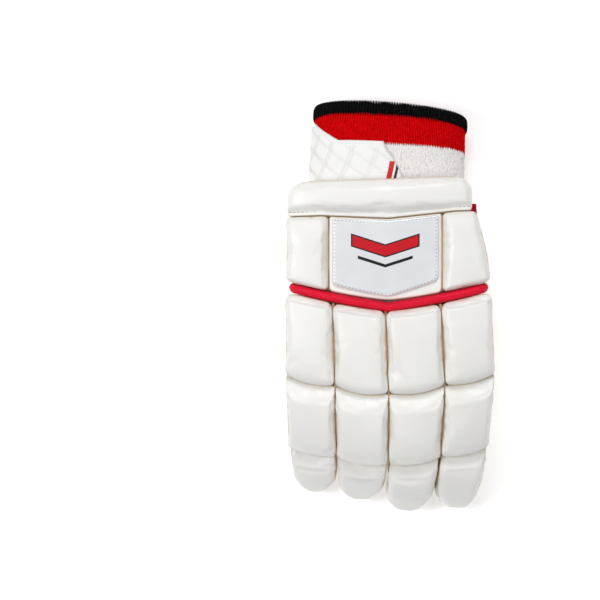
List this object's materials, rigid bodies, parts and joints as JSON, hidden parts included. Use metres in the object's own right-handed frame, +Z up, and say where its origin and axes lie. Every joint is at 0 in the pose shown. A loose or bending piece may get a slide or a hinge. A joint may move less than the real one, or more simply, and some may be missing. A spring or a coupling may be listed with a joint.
{
  "type": "cricket batting glove",
  "caption": "Right-hand padded batting glove: leather finger rolls and back pads over a hollow glove, knitted cuff with a wrist strap, thumb folded under the palm.",
  "frame": {"origin": "on the floor, under the middle of the glove's outline", "axes": "+Z up from the floor the glove lies on, back of the hand up; +Y from the fingertips to the cuff's mouth; +X to the index finger's side"},
  "size_m": [0.145, 0.285, 0.0755],
  "materials": {
    "white_leather": "smooth white leather, stuffed, low sheen",
    "palm_leather": "thin off-white leather",
    "red_piping": "smooth crimson leather",
    "badge_vinyl": "glossy pale grey vinyl, with two plain chevrons",
    "strap_vinyl": "white vinyl embossed with a lattice of lozenges",
    "towelling": "looped grey-white towelling",
    "red_knit": "ribbed red knit",
    "black_knit": "ribbed black knit",
    "red_fabric": "woven red fabric"
  },
  "bodies": {
    "root": {"hand_shell": "palm_leather", "little_stall": "palm_leather", "little_knuckle_roll": "white_leather", "little_middle_roll": "white_leather", "little_tip_roll": "white_leather", "ring_stall": "palm_leather", "ring_knuckle_roll": "white_leather", "ring_middle_roll": "white_leather", "ring_tip_roll": "white_leather", "middle_stall": "palm_leather", "middle_knuckle_roll": "white_leather", "middle_middle_roll": "white_leather", "middle_tip_roll": "white_leather", "index_stall": "palm_leather", "index_knuckle_roll": "white_leather", "index_middle_roll": "white_leather", "index_tip_roll": "white_leather", "thumb_stall": "palm_leather", "thumb_base_pad": "white_leather", "thumb_tip_pad": "white_leather", "thumb_gusset": "red_fabric", "wrist_pad": "white_leather", "little_side_pad": "white_leather", "index_side_pad": "white_leather", "badge_backing": "white_leather", "badge_plate": "badge_vinyl", "knuckle_piping": "red_piping", "cuff_towelling": "towelling", "cuff_band": "red_knit", "cuff_hem": "black_knit", "wrist_strap": "strap_vinyl"}
  },
  "joints": []
}
